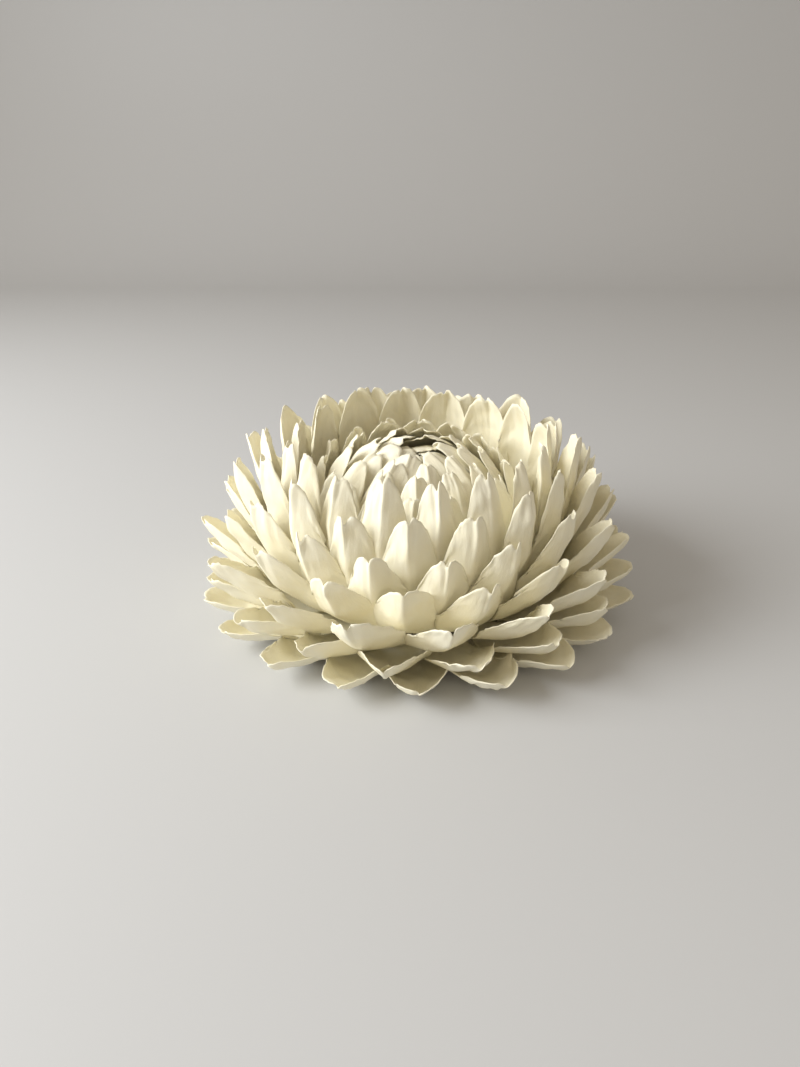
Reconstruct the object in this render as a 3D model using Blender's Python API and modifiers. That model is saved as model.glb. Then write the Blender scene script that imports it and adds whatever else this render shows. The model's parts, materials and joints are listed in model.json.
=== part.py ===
"""Giant paper flower: a domed head of cupped paper petals round a closed bud, on a card disc.

The head lies on its flat back, +Z up, with its front towards -Y.
The origin is the centre of the disc's underside.
"""
import math
from dataclasses import dataclass

import bmesh
import bpy
import numpy as np

# Driving dimensions, in metres
HEAD_RADIUS = 0.160
PAPER_THICKNESS = 0.0005
BAND_THICKNESS = 0.0010
BAND_BEHIND = 0.0010
BAND_AHEAD = 0.0030
DISC_RADIUS = 0.081
DISC_THICKNESS = 0.0015
CORE_BALL_RADIUS = 0.0376
CORE_FOOT_RADIUS = 0.0632
CLEARANCE = 0.0003

# Proportions of the head, in head radii
BUD_CENTRE_HEIGHT = 0.383
HEAD_LIFT = 0.026
FULL_TILT_SHIFT = 0.015
FULL_TILT = 6.0

# How the hand-made petals differ from each other
TURN_SCATTER = 0.024
LENGTH_SCATTER = 0.035
BEND_SCATTER = 0.05
LEAN_SCATTER = 0.9
OPEN_SIDE = 205.0
WIDTH_SCATTER = 0.04
BUD_STEADINESS = 0.4

# Mesh fineness
ACROSS_SEGMENTS = 4
HEART_ACROSS_SEGMENTS = 2
ALONG_SEGMENTS = 3
SPINE_STATIONS = 48
SIDE_LIMIT = 0.468


@dataclass
class Row:
    """One ring of petals, in head radii and degrees; the front ones are `shorter` and lean in by `closing`,
    and those on the open side lean out by `opening`."""
    name: str
    count: int
    turn: float
    foot: tuple
    tip: tuple
    bend: float
    gather: float
    width: float
    tilt: float
    cup: float
    keel: float
    drop: float = 0.22
    blunt: float = 2.2
    neck: float = 0.46
    taper: float = 0.10
    scatter: float = 1.0
    across: int = ACROSS_SEGMENTS
    closing: float = 0.0
    shorter: float = 0.0
    opening: float = 0.0


def bud_row(name, count, turn, shell, foot_angle, tip_angle, lift, width, drop=0.24, cup=36, keel=15,
            follow=1.0, across=ACROSS_SEGMENTS, opening=0.0):
    """A row of the closed bud: its petals hug a ball of radius `shell` from a foot angle to a tip angle."""
    low, high = math.radians(foot_angle), math.radians(tip_angle)
    foot = (shell * math.sin(low), BUD_CENTRE_HEIGHT + shell * math.cos(low))
    reach = shell + lift
    tip = (reach * math.sin(high), BUD_CENTRE_HEIGHT + reach * math.cos(high))
    return Row(name, count, turn, foot, tip, (foot_angle - tip_angle) * follow, 1.0, width, FULL_TILT,
               cup, keel, drop, 2.0, 0.55, 0.20, BUD_STEADINESS, across, opening=opening)


# From the heart of the bud outwards; each row's petals stand in the gaps of the row inside it
BUD_ROWS = [
    bud_row("bud_row_01", 4, 20.0, 0.312, 100, 2, 0.000, 0.270, drop=0.05, cup=34, keel=6,
            across=HEART_ACROSS_SEGMENTS),
    bud_row("bud_row_02", 6, -15.0, 0.357, 106, 12, 0.002, 0.260, drop=0.14, cup=34, keel=12,
            across=HEART_ACROSS_SEGMENTS),
    bud_row("bud_row_03", 9, 12.0, 0.393, 112, 26, -0.001, 0.240, across=HEART_ACROSS_SEGMENTS),
    bud_row("bud_row_04", 12, 0.0, 0.430, 118, 38, 0.000, 0.225, cup=34, follow=0.97, opening=5.0),
    bud_row("bud_row_05", 16, -2.5, 0.467, 124, 52, 0.012, 0.205, follow=0.95, opening=7.0),
]
RING_ROWS = [
    Row("ring_row_01", 16, 8.7, (0.448, 0.099), (0.555, 0.800), 66, 1.0, 0.255, 5.2, 47, 16, closing=4.2),
    Row("ring_row_02", 16, -2.5, (0.456, 0.086), (0.680, 0.780), 58, 1.1, 0.278, 4.5, 50, 18, closing=1.2,
        shorter=0.13),
    Row("ring_row_03", 16, 8.7, (0.463, 0.073), (0.790, 0.695), 56, 1.2, 0.308, 3.8, 54, 20, closing=-0.6,
        shorter=0.24),
    Row("ring_row_04", 16, -2.5, (0.470, 0.059), (0.890, 0.555), 55, 1.3, 0.328, 3.1, 53, 20, closing=-0.8,
        shorter=0.18),
    Row("ring_row_05", 16, 8.0, (0.477, 0.044), (0.950, 0.415), 56, 1.4, 0.343, 2.4, 55, 16, closing=-4.0),
]
RIM_ROWS = [
    Row("upper_rim_petal", 18, -6.0, (0.484, 0.028), (0.970, 0.265), 56, 1.5, 0.325, 1.7, 56, 12,
        blunt=2.5, closing=-4.1),
    Row("lower_rim_petal", 20, 1.0, (0.492, 0.010), (1.000, 0.110), 56, 1.6, 0.305, 1.0, 56, 8,
        drop=0.20, blunt=2.6),
]


def scatter(seed, channel):
    """Repeatable hand-made unevenness between -1 and 1."""
    value = math.sin(12.9898 * (seed + 1) + 78.233 * (channel + 1)) * 43758.5453
    return 2.0 * (value - math.floor(value)) - 1.0


def ramp(value, start, end):
    """A smooth rise from 0 to 1 between start and end."""
    t = min(max((value - start) / (end - start), 0.0), 1.0)
    return t * t * (3.0 - 2.0 * t)


def spine(foot, tip, bend, gather):
    """A petal's centre line as stations of (radius, height, heading); it turns inward by `bend` degrees."""
    share = np.linspace(0.0, 1.0, SPINE_STATIONS + 1)
    middle = (share[1:] + share[:-1]) / 2
    heading = math.radians(bend) * share ** gather
    step_heading = math.radians(bend) * middle ** gather
    along = np.concatenate([[0.0], np.cumsum(np.cos(step_heading))]) / SPINE_STATIONS
    across = np.concatenate([[0.0], np.cumsum(np.sin(step_heading))]) / SPINE_STATIONS
    run, rise = tip[0] - foot[0], tip[1] - foot[1]
    length = math.hypot(run, rise) / math.hypot(along[-1], across[-1])
    turn = math.atan2(rise, run) - math.atan2(across[-1], along[-1])
    radius = foot[0] + length * (math.cos(turn) * along - math.sin(turn) * across)
    height = foot[1] + length * (math.sin(turn) * along + math.cos(turn) * across)
    return share, radius, height, heading + turn


class Petal:
    """One cupped petal of a row: narrow foot, round shoulders, and a keel pinched towards the tip."""

    def __init__(self, row, row_number, number):
        seed = row_number * 31 + number
        step = 2 * math.pi / row.count
        self.azimuth = math.radians(row.turn) + step * number + TURN_SCATTER * step * scatter(seed, 0)
        front = max(math.cos(self.azimuth), 0.0)
        gape = max(math.cos(self.azimuth - math.radians(OPEN_SIDE)), 0.0)
        stretch = (1 + row.scatter * LENGTH_SCATTER * scatter(seed, 1)) * (1 - row.shorter * front ** 2)
        tip = tuple(foot + (end - foot) * stretch for foot, end in zip(row.foot, row.tip))
        bend = row.bend * (1 + row.scatter * BEND_SCATTER * scatter(seed, 2))
        self.row = row
        self.lean = math.radians(row.scatter * LEAN_SCATTER * scatter(seed, 3) - row.closing * front
                                 + row.opening * gape)
        self.half_width = row.width / 2 * (1 + row.scatter * WIDTH_SCATTER * scatter(seed, 4))
        self.side_slope = math.tan(SIDE_LIMIT * step)
        self.spine = spine(row.foot, tip, bend, row.gather)

    def point(self, across, along):
        """Where the sheet's point (across -1..1, along 0..1) lies in the row's own frame, in metres."""
        row = self.row
        width_share = row.neck + (1 - row.neck) * ramp(along, 0.0, 0.6) - row.taper * ramp(along, 0.75, 1.0)
        arc = abs(across) * self.half_width * width_share
        station = along * (1 - row.drop * abs(across) ** row.blunt * ramp(along, 0.3, 1.0))
        share, radii, heights, headings = self.spine
        radius = np.interp(station, share, radii)
        height = np.interp(station, share, heights)
        heading = np.interp(station, share, headings)
        pinch = math.radians(row.keel) * ramp(station, 0.45, 1.0)
        foot_hug = math.atan2(row.neck * self.half_width, row.foot[0]) / row.neck
        edge_turn = foot_hug + (math.radians(row.cup) - foot_hug) * ramp(station, 0.05, 0.8)
        curl = (edge_turn - 0.6 * pinch) / self.half_width
        side = (math.sin(pinch + curl * arc) - math.sin(pinch)) / curl
        inward = (math.cos(pinch) - math.cos(pinch + curl * arc)) / curl
        out = radius - inward * math.sin(heading) - row.foot[0]
        up = height + inward * math.cos(heading) - row.foot[1]
        radius = row.foot[0] + math.cos(self.lean) * out + math.sin(self.lean) * up
        height = row.foot[1] - math.sin(self.lean) * out + math.cos(self.lean) * up
        side = math.copysign(min(side, max(radius, 0.002) * self.side_slope), across)
        sine, cosine = math.sin(self.azimuth), math.cos(self.azimuth)
        x = radius * sine + side * cosine
        y = side * sine - radius * cosine
        return x * HEAD_RADIUS, y * HEAD_RADIUS, height * HEAD_RADIUS


def petal_sheet(shape, petal):
    """Adds the petal to the bmesh as an open sheet, from a grid laid from foot to tip."""
    grid = bmesh.ops.create_grid(shape, x_segments=petal.row.across, y_segments=ALONG_SEGMENTS, size=1.0)
    for vert in grid["verts"]:
        vert.co = petal.point(vert.co.x, (vert.co.y + 1) / 2)


def new_collection(name):
    collection = bpy.data.collections.new(name)
    bpy.context.scene.collection.children.link(collection)
    return collection


def principled(name, colour, roughness):
    material = bpy.data.materials.new(name)
    material.use_nodes = True
    shader = material.node_tree.nodes["Principled BSDF"]
    shader.inputs["Base Color"].default_value = (*colour, 1.0)
    shader.inputs["Roughness"].default_value = roughness
    shader.inputs["Metallic"].default_value = 0.0
    return material


def add_object(name, shape, material, collection, parent=None):
    """Turns a bmesh into a named object with one material."""
    mesh = bpy.data.meshes.new(name)
    shape.to_mesh(mesh)
    shape.free()
    mesh.materials.append(material)
    mesh.shade_smooth()
    mesh.set_sharp_from_angle(angle=math.radians(40))
    item = bpy.data.objects.new(name, mesh)
    collection.objects.link(item)
    item.parent = parent
    return item


def thicken(item, thickness):
    solidify = item.modifiers.new("paper thickness", "SOLIDIFY")
    solidify.thickness = thickness
    solidify.offset = 0.0


def row_frame(row, collection):
    """The empty that tips a row forward with the head and lifts it off the table."""
    empty = bpy.data.objects.new(row.name + "_frame", None)
    collection.objects.link(empty)
    empty.location = (0, FULL_TILT_SHIFT * row.tilt / FULL_TILT * HEAD_RADIUS, HEAD_LIFT * HEAD_RADIUS)
    empty.rotation_euler = (math.radians(row.tilt), 0, 0)
    return empty


def glue_band(row):
    """The band of glue and paper that the feet of a row stand in: a short cone along the petals' heading."""
    heading = spine(row.foot, row.tip, row.bend, row.gather)[3][0]
    radius, height = row.foot[0] * HEAD_RADIUS, row.foot[1] * HEAD_RADIUS
    low = (radius - BAND_BEHIND * math.cos(heading), height - BAND_BEHIND * math.sin(heading))
    high = (radius + BAND_AHEAD * math.cos(heading), height + BAND_AHEAD * math.sin(heading))
    band = bmesh.new()
    segments = row.count * max(2, round(24 / row.count))
    cone = bmesh.ops.create_cone(band, cap_ends=False, segments=segments, radius1=low[0], radius2=high[0],
                                 depth=high[1] - low[1])
    bmesh.ops.translate(band, verts=cone["verts"], vec=(0, 0, (low[1] + high[1]) / 2))
    return band


def joined_row(row, row_number, material, parts, workings):
    """A whole row as one piece: its petals united with the band at their feet."""
    frame = row_frame(row, parts)
    sheets = bmesh.new()
    for number in range(row.count):
        petal_sheet(sheets, Petal(row, row_number, number))
    petals = add_object(row.name + "_petals", sheets, material, workings, frame)
    thicken(petals, PAPER_THICKNESS)
    petals.hide_render = True
    petals.display_type = "WIRE"
    whole = add_object(row.name, glue_band(row), material, parts, frame)
    thicken(whole, BAND_THICKNESS)
    union = whole.modifiers.new("petals", "BOOLEAN")
    union.operation = "UNION"
    union.solver = "EXACT"
    union.object = petals


def loose_row(row, row_number, material, parts):
    """A row whose petals are separate pieces."""
    frame = row_frame(row, parts)
    for number in range(row.count):
        sheet = bmesh.new()
        petal_sheet(sheet, Petal(row, row_number, number))
        petal = add_object(f"{row.name}_{number + 1:02d}", sheet, material, parts, frame)
        thicken(petal, PAPER_THICKNESS)


def backing_disc(material, parts):
    """The round card that the head is built on and rests on."""
    disc = bmesh.new()
    cylinder = bmesh.ops.create_cone(disc, cap_ends=True, segments=48, radius1=DISC_RADIUS,
                                     radius2=DISC_RADIUS, depth=DISC_THICKNESS)
    bmesh.ops.translate(disc, verts=cylinder["verts"], vec=(0, 0, DISC_THICKNESS / 2))
    add_object("backing_disc", disc, material, parts)


def core_form(material, parts):
    """The hidden form inside the bud: a ball on a flared foot, turned about the head's axis."""
    ball_height = (BUD_CENTRE_HEIGHT + HEAD_LIFT) * HEAD_RADIUS
    foot_height = DISC_THICKNESS + CLEARANCE
    profile = []
    for degrees in range(0, 91, 18):
        angle = math.radians(degrees)
        profile.append((CORE_BALL_RADIUS * math.sin(angle), ball_height + CORE_BALL_RADIUS * math.cos(angle)))
    for share in (0.3, 0.6, 0.85, 1.0):
        flare = CORE_BALL_RADIUS + (CORE_FOOT_RADIUS - CORE_BALL_RADIUS) * share ** 0.8
        profile.append((flare, ball_height + (foot_height - ball_height) * share))
    profile.append((0.0, foot_height))
    outline = bmesh.new()
    corners = [outline.verts.new((radius, 0, height)) for radius, height in profile]
    for start, end in zip(corners, corners[1:]):
        outline.edges.new((start, end))
    form = add_object("core_form", outline, material, parts)
    turn = form.modifiers.new("turned", "SCREW")
    turn.steps = 28
    turn.render_steps = 28
    turn.use_merge_vertices = True
    turn.merge_threshold = 0.00001


def build_flower():
    for item in list(bpy.data.objects):
        bpy.data.objects.remove(item)
    parts = new_collection("giant_paper_flower")
    workings = new_collection("workings")
    paper = principled("ivory_paper", (0.90, 0.84, 0.68), 0.65)
    card = principled("grey_card", (0.70, 0.66, 0.58), 0.80)
    foam = principled("white_core", (0.88, 0.86, 0.80), 0.85)
    backing_disc(card, parts)
    core_form(foam, parts)
    for row_number, row in enumerate(BUD_ROWS + RING_ROWS + RIM_ROWS):
        if row in RIM_ROWS:
            loose_row(row, row_number, paper, parts)
        else:
            joined_row(row, row_number, paper, parts, workings)


build_flower()
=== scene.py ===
"""Giant paper flower: a head of cupped ivory petals round a closed bud, glued up on a round card.

The head lies on its flat back with +Z up and its front towards -Y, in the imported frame's own metres.
"""
import json
import math
from dataclasses import dataclass

import bmesh
import bpy
import numpy as np
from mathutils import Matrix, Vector, noise

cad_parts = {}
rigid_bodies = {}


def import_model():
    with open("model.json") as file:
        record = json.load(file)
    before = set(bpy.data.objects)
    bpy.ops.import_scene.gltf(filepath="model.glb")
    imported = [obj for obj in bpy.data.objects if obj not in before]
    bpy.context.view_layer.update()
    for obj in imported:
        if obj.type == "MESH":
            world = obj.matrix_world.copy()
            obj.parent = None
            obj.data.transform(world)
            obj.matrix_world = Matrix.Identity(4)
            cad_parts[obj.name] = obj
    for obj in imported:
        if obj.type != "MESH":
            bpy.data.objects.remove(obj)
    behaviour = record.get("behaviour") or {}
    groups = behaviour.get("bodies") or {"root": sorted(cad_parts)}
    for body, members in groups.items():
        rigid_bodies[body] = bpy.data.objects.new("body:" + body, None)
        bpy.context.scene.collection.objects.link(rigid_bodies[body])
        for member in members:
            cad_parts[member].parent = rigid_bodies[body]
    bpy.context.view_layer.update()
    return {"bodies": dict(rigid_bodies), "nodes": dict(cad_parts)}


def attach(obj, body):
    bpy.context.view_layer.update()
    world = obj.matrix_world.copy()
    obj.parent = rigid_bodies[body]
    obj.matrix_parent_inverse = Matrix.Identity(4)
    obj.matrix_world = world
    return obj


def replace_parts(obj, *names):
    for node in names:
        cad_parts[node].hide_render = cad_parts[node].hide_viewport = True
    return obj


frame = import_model()
body = frame["bodies"][0] if isinstance(frame["bodies"], list) else next(iter(frame["bodies"]))

# ---------------------------------------------------------------------------------------------------
# Backing disc: the round of grey card, 1.5 mm thick and 162 mm across, that the whole head is glued
# up on and rests on. It keeps its own shape and gets the look of cheap pressed card, pulp and all.

CARD_GREY = (0.52, 0.48, 0.41)


def new_node(tree, kind, place, **settings):
    """A node at a place in the editor, with its settings and the values of its named inputs."""
    node = tree.nodes.new(kind)
    node.location = place
    for name, value in settings.items():
        if name == "values":
            for socket, number in value.items():
                node.inputs[socket].default_value = number
        else:
            setattr(node, name, value)
    return node


def make_pulp_group():
    """Paper pulp and fibres: a colour, a roughness and a height that vary over the sheet."""
    group = bpy.data.node_groups.new("paper pulp", "ShaderNodeTree")
    sockets = group.interface
    sockets.new_socket("Coordinates", in_out="INPUT", socket_type="NodeSocketVector")
    sockets.new_socket("Clean Colour", in_out="INPUT", socket_type="NodeSocketColor")
    sockets.new_socket("Fleck Colour", in_out="INPUT", socket_type="NodeSocketColor")
    sockets.new_socket("Fibres per Metre", in_out="INPUT", socket_type="NodeSocketFloat")
    sockets.new_socket("Clouds per Metre", in_out="INPUT", socket_type="NodeSocketFloat")
    sockets.new_socket("Cloudiness", in_out="INPUT", socket_type="NodeSocketFloat")
    sockets.new_socket("Dry Roughness", in_out="INPUT", socket_type="NodeSocketFloat")
    sockets.new_socket("Colour", in_out="OUTPUT", socket_type="NodeSocketColor")
    sockets.new_socket("Roughness", in_out="OUTPUT", socket_type="NodeSocketFloat")
    sockets.new_socket("Height", in_out="OUTPUT", socket_type="NodeSocketFloat")
    given = new_node(group, "NodeGroupInput", (-900, 0))
    made = new_node(group, "NodeGroupOutput", (500, 0))
    fibres = new_node(group, "ShaderNodeTexNoise", (-600, 200),
                      values={"Detail": 3.0, "Roughness": 0.65, "Distortion": 0.9})
    clouds = new_node(group, "ShaderNodeTexNoise", (-600, -200),
                      values={"Detail": 3.0, "Roughness": 0.55, "Distortion": 0.2})
    cloud_share = new_node(group, "ShaderNodeMapRange", (-350, -200),
                           values={"From Min": 0.35, "From Max": 0.70})
    fleck_share = new_node(group, "ShaderNodeMath", (-150, -120), operation="MULTIPLY")
    mixed = new_node(group, "ShaderNodeMix", (100, 150), data_type="RGBA")
    rough = new_node(group, "ShaderNodeMath", (100, -150), operation="MULTIPLY_ADD",
                     values={1: 0.22})
    relief = new_node(group, "ShaderNodeMath", (100, -350), operation="MULTIPLY_ADD",
                      values={1: 0.45})
    link = group.links.new
    link(given.outputs["Coordinates"], fibres.inputs["Vector"])
    link(given.outputs["Fibres per Metre"], fibres.inputs["Scale"])
    link(given.outputs["Coordinates"], clouds.inputs["Vector"])
    link(given.outputs["Clouds per Metre"], clouds.inputs["Scale"])
    link(clouds.outputs["Fac"], cloud_share.inputs["Value"])
    link(cloud_share.outputs["Result"], fleck_share.inputs[0])
    link(given.outputs["Cloudiness"], fleck_share.inputs[1])
    link(fleck_share.outputs["Value"], mixed.inputs["Factor"])
    link(given.outputs["Clean Colour"], mixed.inputs["A"])
    link(given.outputs["Fleck Colour"], mixed.inputs["B"])
    link(fibres.outputs["Fac"], rough.inputs[0])
    link(given.outputs["Dry Roughness"], rough.inputs[2])
    link(clouds.outputs["Fac"], relief.inputs[0])
    link(fibres.outputs["Fac"], relief.inputs[2])
    link(mixed.outputs["Result"], made.inputs["Colour"])
    link(rough.outputs["Value"], made.inputs["Roughness"])
    link(relief.outputs["Value"], made.inputs["Height"])
    return group


paper_pulp = make_pulp_group()


def new_finish(name):
    """An empty material and its Principled shader."""
    finish = bpy.data.materials.new(name)
    finish.use_nodes = True
    return finish, finish.node_tree, finish.node_tree.nodes["Principled BSDF"]


def pulp_in(tree, **values):
    """The pulp group placed in a material, with its own values, on the object's coordinates."""
    pulp = new_node(tree, "ShaderNodeGroup", (-650, 100), node_tree=paper_pulp)
    for socket, value in values.items():
        pulp.inputs[socket.replace("_", " ")].default_value = value
    places = new_node(tree, "ShaderNodeTexCoord", (-900, 100))
    tree.links.new(places.outputs["Object"], pulp.inputs["Coordinates"])
    return pulp


def wear(node_name, finish):
    """Gives a node of the frame its finish, on every slot it has."""
    for slot in frame["nodes"][node_name].material_slots:
        slot.material = finish


card, tree, shader = new_finish("grey card")
pulp = pulp_in(tree, Clean_Colour=(*CARD_GREY, 1.0), Fleck_Colour=(0.36, 0.33, 0.28, 1.0),
               Fibres_per_Metre=1900.0, Clouds_per_Metre=260.0, Cloudiness=0.75, Dry_Roughness=0.72)
bump = new_node(tree, "ShaderNodeBump", (-300, -200), values={"Strength": 0.35, "Distance": 0.0004})
tree.links.new(pulp.outputs["Colour"], shader.inputs["Base Color"])
tree.links.new(pulp.outputs["Roughness"], shader.inputs["Roughness"])
tree.links.new(pulp.outputs["Height"], bump.inputs["Height"])
tree.links.new(bump.outputs["Normal"], shader.inputs["Normal"])
wear("backing_disc", card)

# ---------------------------------------------------------------------------------------------------
# Core form: the ball on a flared foot inside the bud that the bud's petals are glued to. It is pressed
# white pulp with a coarse dimpled skin, and only glimpsed deep between the petals.

core, tree, shader = new_finish("white core")
pulp = pulp_in(tree, Clean_Colour=(0.86, 0.80, 0.66, 1.0), Fleck_Colour=(0.72, 0.65, 0.50, 1.0),
               Fibres_per_Metre=700.0, Clouds_per_Metre=90.0, Cloudiness=0.8, Dry_Roughness=0.76)
bump = new_node(tree, "ShaderNodeBump", (-300, -200), values={"Strength": 0.5, "Distance": 0.0008})
tree.links.new(pulp.outputs["Colour"], shader.inputs["Base Color"])
tree.links.new(pulp.outputs["Roughness"], shader.inputs["Roughness"])
tree.links.new(pulp.outputs["Height"], bump.inputs["Height"])
tree.links.new(bump.outputs["Normal"], shader.inputs["Normal"])
wear("core_form", core)

# ---------------------------------------------------------------------------------------------------
# The bud: 47 petals of heavy ivory paper in five rows, closed over the core like scales. Each petal is
# cut with a slit in its tip whose two lobes are lapped and glued, which pinches the tip into a keel.
# They are glued at the foot only, and each row's petals cover the gaps of the row inside it.

HEAD_RADIUS = 0.160
PAPER_THICKNESS = 0.0005
BUD_CENTRE_HEIGHT = 0.383
HEAD_LIFT = 0.026
FULL_TILT_SHIFT = 0.015
FULL_TILT = 6.0
TURN_SCATTER = 0.024
LENGTH_SCATTER = 0.035
BEND_SCATTER = 0.05
LEAN_SCATTER = 0.9
OPEN_SIDE = 205.0
WIDTH_SCATTER = 0.04
BUD_STEADINESS = 0.4
SPINE_STATIONS = 96
ACROSS_SEGMENTS = 25
ALONG_SEGMENTS = 30
IVORY = (0.95, 0.905, 0.73)
HONEY = (0.95, 0.87, 0.62)


@dataclass
class Row:
    """One ring of petals: where they stand and how they are bent, in head radii and degrees."""
    name: str
    node: str
    count: int
    turn: float
    foot: tuple
    tip: tuple
    bend: float
    gather: float
    width: float
    tilt: float
    cup: float
    keel: float
    drop: float = 0.32
    blunt: float = 2.5
    neck: float = 0.46
    taper: float = 0.14
    slit: float = 0.045
    lap: float = 0.010
    wave: float = 0.009
    crease: float = 0.011
    pinch_from: float = 0.20
    spread: float = 0.60
    shingle: float = 0.014
    heart: float = 0.012
    steadiness: float = 1.0
    shorter: float = 0.0
    closing: float = 0.0
    opening: float = 0.0
    number: int = 0


def bud_row(name, node, count, turn, shell, foot_angle, tip_angle, lift, width, cup=38, keel=26,
            follow=1.0, **cut):
    """A row of the closed bud: its petals hug a ball of radius `shell` from a foot angle to a tip angle."""
    low, high = math.radians(foot_angle), math.radians(tip_angle)
    foot = (shell * math.sin(low), BUD_CENTRE_HEIGHT + shell * math.cos(low))
    reach = shell + lift
    tip = (reach * math.sin(high), BUD_CENTRE_HEIGHT + reach * math.cos(high))
    return Row(name, node, count, turn, foot, tip, (foot_angle - tip_angle) * follow, 1.0, width,
               FULL_TILT, cup, keel, neck=0.55, steadiness=BUD_STEADINESS, **cut)


def unevenness(seed, channel):
    """Repeatable hand-made unevenness between -1 and 1."""
    value = math.sin(12.9898 * (seed + 1) + 78.233 * (channel + 1)) * 43758.5453
    return 2.0 * (value - math.floor(value)) - 1.0


def ramp(value, start, end):
    """A smooth rise from 0 to 1 between start and end."""
    share = np.clip((value - start) / (end - start), 0.0, 1.0)
    return share * share * (3.0 - 2.0 * share)


def ripple(x, y, z, octaves=1):
    """Smooth noise at each point, about -1 to 1."""
    points = np.broadcast_arrays(x, y, z)
    if octaves == 1:
        values = [noise.noise(Vector(point)) for point in zip(*(axis.tolist() for axis in points))]
    else:
        values = [noise.fractal(Vector(point), 0.5, 2.0, octaves)
                  for point in zip(*(axis.tolist() for axis in points))]
    return np.array(values)


def spine_of(foot, tip, bend, gather):
    """A petal's centre line: stations of share, radius, height and heading, and its length."""
    share = np.linspace(0.0, 1.0, SPINE_STATIONS + 1)
    middle = (share[1:] + share[:-1]) / 2
    step_heading = math.radians(bend) * middle ** gather
    along = np.concatenate([[0.0], np.cumsum(np.cos(step_heading))]) / SPINE_STATIONS
    across = np.concatenate([[0.0], np.cumsum(np.sin(step_heading))]) / SPINE_STATIONS
    run, rise = tip[0] - foot[0], tip[1] - foot[1]
    length = math.hypot(run, rise) / math.hypot(along[-1], across[-1])
    turn = math.atan2(rise, run) - math.atan2(across[-1], along[-1])
    radius = foot[0] + length * (math.cos(turn) * along - math.sin(turn) * across)
    height = foot[1] + length * (math.sin(turn) * along + math.cos(turn) * across)
    return share, radius, height, math.radians(bend) * share ** gather + turn, length


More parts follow.
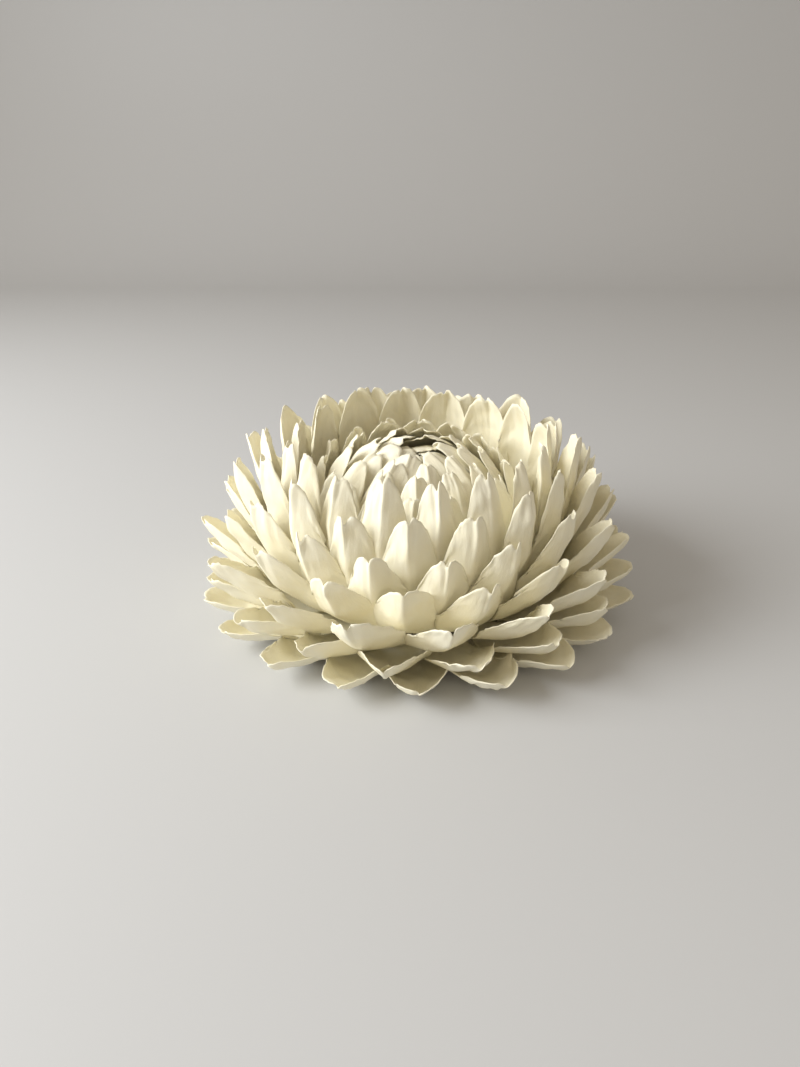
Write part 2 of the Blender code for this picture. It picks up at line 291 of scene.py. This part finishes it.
def petal_shape(row, number, across, along):
    """Where the sheet's points (across -1..1, along 0..1) lie in the frame, in metres."""
    seed = row.number * 31 + number
    step = 2 * math.pi / row.count
    azimuth = math.radians(row.turn) + step * number + TURN_SCATTER * step * unevenness(seed, 0)
    front = max(math.cos(azimuth), 0.0)
    behind = max(-math.cos(azimuth), 0.0)
    gape = max(math.cos(azimuth - math.radians(OPEN_SIDE)), 0.0)
    stretch = (1 + row.steadiness * LENGTH_SCATTER * unevenness(seed, 1)) * (1 - row.shorter * front ** 2)
    tip = tuple(foot + (end - foot) * stretch for foot, end in zip(row.foot, row.tip))
    bend = row.bend * (1 + row.steadiness * BEND_SCATTER * unevenness(seed, 2))
    lean = math.radians(row.steadiness * LEAN_SCATTER * unevenness(seed, 3) - row.closing * front
                        + row.opening * gape)
    half_width = row.width / 2 * (1 + row.steadiness * WIDTH_SCATTER * unevenness(seed, 4) + 0.12 * behind)
    share, radii, heights, headings, length = spine_of(row.foot, tip, bend, row.gather)

    # the cut outline: narrow foot, round shoulders, torn edges, a slit between two lobes at the tip
    side = np.sign(across)
    reach = np.abs(across)
    width_share = row.neck + (1 - row.neck) * ramp(along, 0.0, 0.58) - row.taper * ramp(along, 0.62, 1.0)
    tear = ripple(side * 2 + seed * 1.7, along * 14, seed * 0.37)
    nick = np.clip(ripple(side * 5 + seed * 2.1, along * 26, seed * 0.91 + 4) - 0.28, 0, 1)
    arc = reach * half_width * width_share * (1 + reach ** 6 * (0.045 * tear - 0.14 * nick))
    lobe = 1 + 0.16 * unevenness(seed, 5) * side
    slit = row.slit * (1 + 0.35 * unevenness(seed, 6)) * np.exp(-(reach / 0.06) ** 1.3)
    fray = 0.016 * ripple(across * 4.5 + seed * 1.3, seed * 0.77, 2.0)
    fray += 0.009 * ripple(across * 13 + seed * 1.3, seed * 0.77, 6.0)
    drop = row.drop * (1 - 0.35 * behind) * lobe
    station = along * (1 - drop * reach ** row.blunt * ramp(along, 0.25, 1.0))
    station = station - slit * ramp(along, 0.80, 1.0) + fray * ramp(along, 0.9, 1.0)

    # the centre line, and the cup and keel across it
    radius = np.interp(station, share, radii)
    height = np.interp(station, share, heights)
    heading = np.interp(station, share, headings)
    beyond = np.maximum(station - 1, 0) * length
    radius = radius + beyond * np.cos(heading)
    height = height + beyond * np.sin(heading)
    keel = row.keel * (1 - 0.60 * behind)
    pinch = math.radians(keel) * (1 + 0.25 * unevenness(seed, 7)) * ramp(station, row.pinch_from, 0.95)
    foot_hug = math.atan2(row.neck * half_width, row.foot[0]) / row.neck
    cup = math.radians(row.cup) * (1 + 0.08 * unevenness(seed, 8))
    edge_turn = foot_hug + (cup - foot_hug) * ramp(station, 0.05, 0.8)
    curl = (edge_turn - 0.6 * pinch) / half_width
    soft_arc = np.sqrt(arc ** 2 + (0.035 * half_width) ** 2) - 0.035 * half_width
    aside = side * (np.sin(pinch + curl * arc) - np.sin(pinch)) / curl
    inward = (np.cos(pinch) - np.cos(pinch + curl * soft_arc)) / curl

    # one lobe lapped over the other, and the dents and creases of handled paper
    over = 1 if unevenness(seed, 9) > 0 else -1
    inward += over * row.lap * np.tanh(across / 0.03) * np.exp(-reach / 0.25) * ramp(along, 0.60, 1.0)
    x, y = side * arc / half_width, along * length / row.width
    inward += row.wave * ripple(x * 1.1 + seed * 0.95, y * 2.2 - seed * 0.49, seed * 0.13, 2) * ramp(along, 0.12, 0.5)
    crumple = np.abs(ripple(x * 4.2 + seed * 2.1, y * 1.3 - seed * 1.1, seed * 0.29, 2))
    inward -= row.crease * crumple * ramp(along, 0.50, 0.95)
    inward += row.shingle * across * ramp(along, 0.20, 0.70)

    # leant, swung round the head, then tipped forward and lifted with it
    out = radius - inward * np.sin(heading) - row.foot[0]
    up = height + inward * np.cos(heading) - row.foot[1]
    radius = row.foot[0] + math.cos(lean) * out + math.sin(lean) * up
    height = row.foot[1] - math.sin(lean) * out + math.cos(lean) * up
    limit = np.maximum(radius, row.heart) * math.tan((row.spread + 0.12 * behind) * step)
    aside = np.clip(aside, -limit, limit)
    sine, cosine = math.sin(azimuth), math.cos(azimuth)
    east = radius * sine + aside * cosine
    north = aside * sine - radius * cosine
    tilt = math.radians(row.tilt)
    ahead = math.cos(tilt) * north - math.sin(tilt) * height + FULL_TILT_SHIFT * row.tilt / FULL_TILT
    above = math.sin(tilt) * north + math.cos(tilt) * height + HEAD_LIFT
    return np.stack([east, ahead, above], axis=1) * HEAD_RADIUS


def make_ivory_paper():
    """Heavy ivory paper: clean cream clouded with honey pulp, and creases in its relief."""
    finish, tree, shader = new_finish("ivory paper")
    pulp = pulp_in(tree, Clean_Colour=(*IVORY, 1.0), Fleck_Colour=(*HONEY, 1.0),
                   Fibres_per_Metre=1500.0, Clouds_per_Metre=70.0, Cloudiness=0.45, Dry_Roughness=0.58)
    creases = new_node(tree, "ShaderNodeTexNoise", (-650, -350),
                       values={"Scale": 1.0, "Detail": 4.0, "Roughness": 0.55, "Distortion": 0.6})
    sheet = new_node(tree, "ShaderNodeUVMap", (-1050, -350), uv_map="sheet")
    stretched = new_node(tree, "ShaderNodeMapping", (-850, -350), values={"Scale": (9.0, 3.5, 1.0)})
    relief = new_node(tree, "ShaderNodeMath", (-400, -300), operation="MULTIPLY_ADD", values={1: 2.2})
    bump = new_node(tree, "ShaderNodeBump", (-200, -200), values={"Strength": 0.40, "Distance": 0.0006})
    link = tree.links.new
    link(pulp.outputs["Colour"], shader.inputs["Base Color"])
    link(pulp.outputs["Roughness"], shader.inputs["Roughness"])
    link(sheet.outputs["UV"], stretched.inputs["Vector"])
    link(stretched.outputs["Vector"], creases.inputs["Vector"])
    link(creases.outputs["Fac"], relief.inputs[0])
    link(pulp.outputs["Height"], relief.inputs[2])
    link(relief.outputs["Value"], bump.inputs["Height"])
    link(bump.outputs["Normal"], shader.inputs["Normal"])
    return finish


ivory_paper = make_ivory_paper()


def make_petal(row, number):
    """One petal: a grid laid from foot to tip, shaped as a cut sheet and given the paper's thickness."""
    sheet = bmesh.new()
    grid = bmesh.ops.create_grid(sheet, x_segments=ACROSS_SEGMENTS, y_segments=ALONG_SEGMENTS, size=1.0)
    verts = grid["verts"]
    flat = np.array([vert.co[:2] for vert in verts])
    across = np.sign(flat[:, 0]) * np.abs(flat[:, 0]) ** 1.25
    along = ((flat[:, 1] + 1) / 2) ** 0.85
    map_layer = sheet.loops.layers.uv.new("sheet")
    for vert, place in zip(verts, petal_shape(row, number, across, along)):
        vert.co = place
    for face in sheet.faces:
        face.smooth = True
        for loop in face.loops:
            loop[map_layer].uv = ((across[loop.vert.index] + 1) / 2 + number, along[loop.vert.index])
    name = f"{row.name}_petal_{number + 1:02d}"
    mesh = bpy.data.meshes.new(name)
    sheet.to_mesh(mesh)
    sheet.free()
    mesh.materials.append(ivory_paper)
    petal = bpy.data.objects.new(name, mesh)
    bpy.context.scene.collection.objects.link(petal)
    thickness = petal.modifiers.new("paper thickness", "SOLIDIFY")
    thickness.thickness = PAPER_THICKNESS
    thickness.offset = 0.0
    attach(petal, body)
    return petal


bud_rows = [
    bud_row("bud_1", "bud_row_01", 4, 20.0, 0.312, 100, 2, 0.000, 0.280, keel=8, drop=0.06, slit=0.02,
            lap=0.004, spread=0.80, heart=0.09, shingle=0.030),
    bud_row("bud_2", "bud_row_02", 6, -15.0, 0.357, 106, 12, 0.002, 0.285, keel=16, drop=0.22, slit=0.03,
            spread=0.80, heart=0.05, shingle=0.020),
    bud_row("bud_3", "bud_row_03", 9, 12.0, 0.393, 112, 26, -0.001, 0.265, keel=24, spread=0.74),
    bud_row("bud_4", "bud_row_04", 12, 0.0, 0.430, 118, 38, 0.000, 0.250, follow=0.97, spread=0.70,
            opening=5.0),
    bud_row("bud_5", "bud_row_05", 16, -2.5, 0.467, 124, 52, 0.012, 0.235, follow=0.95, spread=0.66,
            opening=7.0),
]
for row_number, row in enumerate(bud_rows):
    row.number = row_number
    for number in range(row.count):
        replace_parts(make_petal(row, number), row.node)

# ---------------------------------------------------------------------------------------------------
# The rings: five rows of 16 large petals that open outwards round the bud, of the same ivory paper.
# They lean more row by row, and those at the front stand closer to the bud than those at the back.

ring_rows = [
    Row("ring_1", "ring_row_01", 16, 8.7, (0.448, 0.099), (0.555, 0.800), 66, 1.0, 0.285, 5.2, 47, 26,
        closing=4.2),
    Row("ring_2", "ring_row_02", 16, -2.5, (0.456, 0.086), (0.680, 0.780), 58, 1.1, 0.305, 4.5, 50, 26,
        shorter=0.13, closing=1.2),
    Row("ring_3", "ring_row_03", 16, 8.7, (0.463, 0.073), (0.790, 0.695), 56, 1.2, 0.325, 3.8, 54, 26,
        shorter=0.24, closing=-0.6),
    Row("ring_4", "ring_row_04", 16, -2.5, (0.470, 0.059), (0.890, 0.555), 55, 1.3, 0.340, 3.1, 53, 26,
        shorter=0.18, closing=-0.8),
    Row("ring_5", "ring_row_05", 16, 8.0, (0.477, 0.044), (0.950, 0.415), 56, 1.4, 0.350, 2.4, 55, 24,
        closing=-4.0),
]
for row_number, row in enumerate(ring_rows, start=len(bud_rows)):
    row.number = row_number
    for number in range(row.count):
        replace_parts(make_petal(row, number), row.node)

# ---------------------------------------------------------------------------------------------------
# The rim: two rows of wide petals, 18 above and 20 below, that lie out flat along the table like open
# bowls. Their tips are rounder, hardly slit, and more crumpled where the paper was turned up by hand.

rim_rows = [
    Row("rim_upper", "upper_rim_petal", 18, -6.0, (0.484, 0.028), (0.970, 0.265), 56, 1.5, 0.335, 1.7,
        58, 24, drop=0.28, blunt=2.7, slit=0.04, wave=0.012, closing=-4.1),
    Row("rim_lower", "lower_rim_petal", 20, 1.0, (0.492, 0.010), (1.000, 0.110), 56, 1.6, 0.315, 1.0,
        60, 16, drop=0.26, blunt=2.8, slit=0.03, lap=0.008, wave=0.014, shingle=0.010),
]
for row_number, row in enumerate(rim_rows, start=len(bud_rows) + len(ring_rows)):
    row.number = row_number
    for number in range(row.count):
        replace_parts(make_petal(row, number), f"{row.node}_{number + 1:02d}")

# ---------------------------------------------------------------------------------------------------
# The table: a plain pale matt board that sweeps up behind the head, not part of the flower.

TABLE_DEPTH = 1.6
SWEEP_RADIUS = 0.7

board = bmesh.new()
profile = [board.verts.new((-2.5, -2.0, 0.0)), board.verts.new((-2.5, TABLE_DEPTH, 0.0))]
for degrees in range(10, 91, 10):
    angle = math.radians(degrees)
    profile.append(board.verts.new((-2.5, TABLE_DEPTH + SWEEP_RADIUS * math.sin(angle),
                                    SWEEP_RADIUS * (1 - math.cos(angle)))))
profile.append(board.verts.new((-2.5, TABLE_DEPTH + SWEEP_RADIUS, 2.5)))
edges = [board.edges.new(pair) for pair in zip(profile, profile[1:])]
swept = bmesh.ops.extrude_edge_only(board, edges=edges)
bmesh.ops.translate(board, verts=[item for item in swept["geom"] if isinstance(item, bmesh.types.BMVert)],
                    vec=(5.0, 0.0, 0.0))
bmesh.ops.recalc_face_normals(board, faces=board.faces)
for face in board.faces:
    face.smooth = True
table_mesh = bpy.data.meshes.new("table")
board.to_mesh(table_mesh)
board.free()
table = bpy.data.objects.new("table", table_mesh)
bpy.context.scene.collection.objects.link(table)
white_board, tree, shader = new_finish("white board")
shader.inputs["Base Color"].default_value = (0.56, 0.56, 0.56, 1.0)
shader.inputs["Roughness"].default_value = 0.55
table_mesh.materials.append(white_board)

# ---------------------------------------------------------------------------------------------------
# Light and camera: a wide soft window from the left, a pale room, and the eye above the front edge.

WINDOW_PLACE = Vector((-1.55, -0.50, 1.00))
WINDOW_SIZE = 1.2
WINDOW_POWER = 46.0
ROOM_LIGHT = 0.50
EYE_DISTANCE = 3.91 * HEAD_RADIUS
EYE_ELEVATION = 29.0

window = bpy.data.lights.new("window", "AREA")
window.energy = WINDOW_POWER
window.size = WINDOW_SIZE
window.color = (0.96, 0.985, 1.0)
window_object = bpy.data.objects.new("window", window)
window_object.location = WINDOW_PLACE
window_object.rotation_euler = (Vector((0.0, 0.0, 0.05)) - WINDOW_PLACE).to_track_quat("-Z", "Y").to_euler()
bpy.context.scene.collection.objects.link(window_object)

room = bpy.data.worlds.new("room")
room.use_nodes = True
room.node_tree.nodes["Background"].inputs["Color"].default_value = (1.0, 0.91, 0.79, 1.0)
room.node_tree.nodes["Background"].inputs["Strength"].default_value = ROOM_LIGHT
bpy.context.scene.world = room
bpy.context.scene.view_settings.view_transform = "Standard"

eye = bpy.data.cameras.new("camera")
eye.sensor_width = 36.0
eye.lens = 27.04
camera = bpy.data.objects.new("camera", eye)
elevation = math.radians(EYE_ELEVATION)
camera.location = (0.0, -EYE_DISTANCE * math.cos(elevation), EYE_DISTANCE * math.sin(elevation))
camera.rotation_euler = (math.radians(90.0 - EYE_ELEVATION + 4.03), 0.0, math.radians(1.29))
bpy.context.scene.collection.objects.link(camera)
bpy.context.scene.camera = camera
